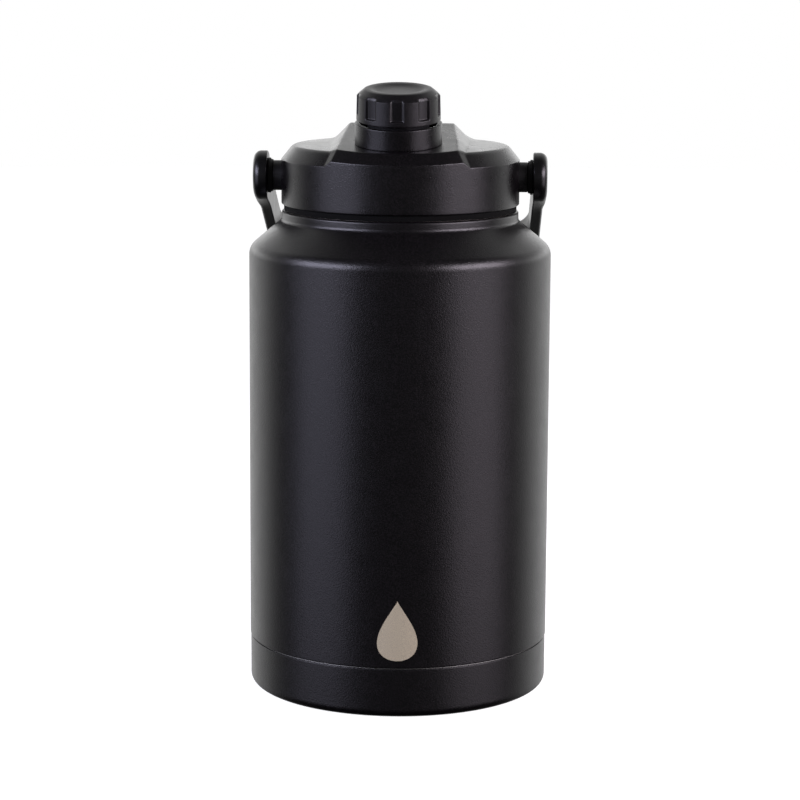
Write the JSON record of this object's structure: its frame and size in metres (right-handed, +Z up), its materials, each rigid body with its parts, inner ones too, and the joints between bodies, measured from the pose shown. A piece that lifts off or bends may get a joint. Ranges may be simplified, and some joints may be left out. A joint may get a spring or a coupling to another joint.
{
  "type": "insulated water jug",
  "caption": "Wide insulated steel water jug with a screw-in lid, an off-centre drinking spout under a screw cap, and a bail handle that swings on the lid.",
  "frame": {"origin": "centre of the standing ring under the base, on the surface that the jug stands on", "axes": "+Z up along the body's axis, -Y towards the spout side (front), +X to the right seen from the front"},
  "size_m": [0.156, 0.1708, 0.3157],
  "materials": {
    "powder_coat": "fine-grained satin powder coat on steel, near black",
    "base_coat": "the same powder coat on the base cup",
    "bare_steel": "electropolished stainless steel with fine circumferential lines",
    "raw_steel": "plain mill-finish stainless sheet",
    "solder": "grey solder",
    "silicone": "black silicone, matt",
    "lid_plastic": "fine-textured satin black polypropylene",
    "cap_plastic": "fine-textured satin black polypropylene, slightly glossier on the edges",
    "liner_plastic": "smooth dark grey polypropylene",
    "foam": "rigid insulating foam",
    "handle_plastic": "fine-textured satin black moulded plastic",
    "boss_plastic": "black moulded plastic",
    "washer_rubber": "black rubbery friction washer",
    "pin_steel": "turned stainless steel"
  },
  "bodies": {
    "jug": {"outer_shell": "powder_coat", "base_cup": "base_coat", "jacket_bottom": "raw_steel", "vacuum_seal": "solder", "getter": "raw_steel", "inner_vessel": "bare_steel"},
    "lid_ring_seal": {"lid_gasket": "silicone"},
    "lid": {"lid_shell": "lid_plastic", "lid_liner": "liner_plastic", "lid_foam": "foam", "spout_tube": "liner_plastic", "spout_seal": "silicone", "spout_collar": "lid_plastic", "pivot_boss_left": "boss_plastic", "pivot_boss_right": "boss_plastic", "pivot_washer_left": "washer_rubber", "pivot_washer_right": "washer_rubber", "pivot_screw_left": "pin_steel", "pivot_screw_right": "pin_steel"},
    "cap_ring_seal": {"cap_seal": "silicone"},
    "cap": {"cap_shell": "cap_plastic", "cap_liner": "liner_plastic"},
    "handle": {"handle_core": "raw_steel", "handle_grip": "handle_plastic", "eye_cover_left": "handle_plastic", "eye_cover_right": "handle_plastic"}
  },
  "joints": [
    {"name": "lid_lift", "type": "slide", "parent": "jug", "child": "lid_ring_seal", "axis": [0, 0, 1], "range_m": [0, 0.01201]},
    {"name": "lid_turn", "type": "hinge", "parent": "lid_ring_seal", "child": "lid", "pos_m": [0, 0, 0.25], "axis": [0, 0, 1], "range_deg": [0, 720]},
    {"name": "cap_lift", "type": "slide", "parent": "lid", "child": "cap_ring_seal", "axis": [0, -0.1305, 0.9914], "range_m": [0, 0.01051]},
    {"name": "cap_turn", "type": "hinge", "parent": "cap_ring_seal", "child": "cap", "pos_m": [0, -0.03361, 0.30595], "axis": [0, -0.1305, 0.9914], "range_deg": [0, 630]},
    {"name": "handle_swing", "type": "hinge", "parent": "lid", "child": "handle", "pos_m": [0, 0, 0.2664], "axis": [1, 0, 0], "range_deg": [0, 237]}
  ],
  "couplings": [
    {"joint": "lid_lift", "follows": "lid_turn", "m_per_rad": 0.00095493},
    {"joint": "cap_lift", "follows": "cap_turn", "m_per_rad": 0.00095493}
  ]
}
